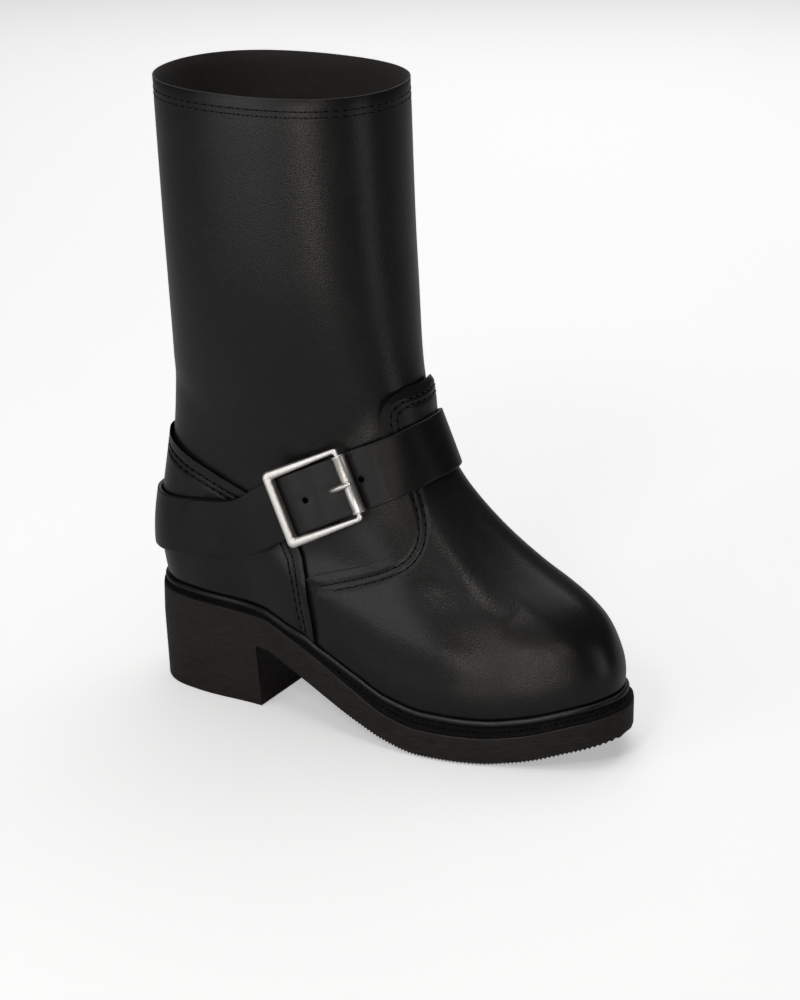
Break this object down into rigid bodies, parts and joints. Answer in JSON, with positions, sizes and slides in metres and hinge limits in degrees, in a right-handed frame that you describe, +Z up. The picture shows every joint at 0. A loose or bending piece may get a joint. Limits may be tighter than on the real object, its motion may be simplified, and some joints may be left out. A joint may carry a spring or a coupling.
{
  "type": "biker boot",
  "caption": "Pull-on leather biker boot for the right foot, with a straight shaft, an ankle strap with a roller buckle, a heel counter, a storm welt and a stacked heel.",
  "frame": {"origin": "on the floor, under the middle of the boot's box", "axes": "+X towards the toe, +Y towards the inner (medial) side, +Z up"},
  "size_m": [0.2718, 0.1038, 0.33],
  "materials": {
    "black_leather": "satin",
    "strap_leather": "satin",
    "sole_rubber": "matte",
    "welt_leather": "satin",
    "insole_leather": "matte",
    "brushed_nickel": "brushed"
  },
  "bodies": {
    "root": {"outsole": "sole_rubber", "heel": "sole_rubber", "welt": "welt_leather", "insole": "insole_leather", "upper": "black_leather", "vamp": "black_leather", "counter": "black_leather", "strap": "strap_leather", "buckle_frame": "brushed_nickel", "buckle_roller": "brushed_nickel", "buckle_prong": "brushed_nickel"}
  },
  "joints": []
}
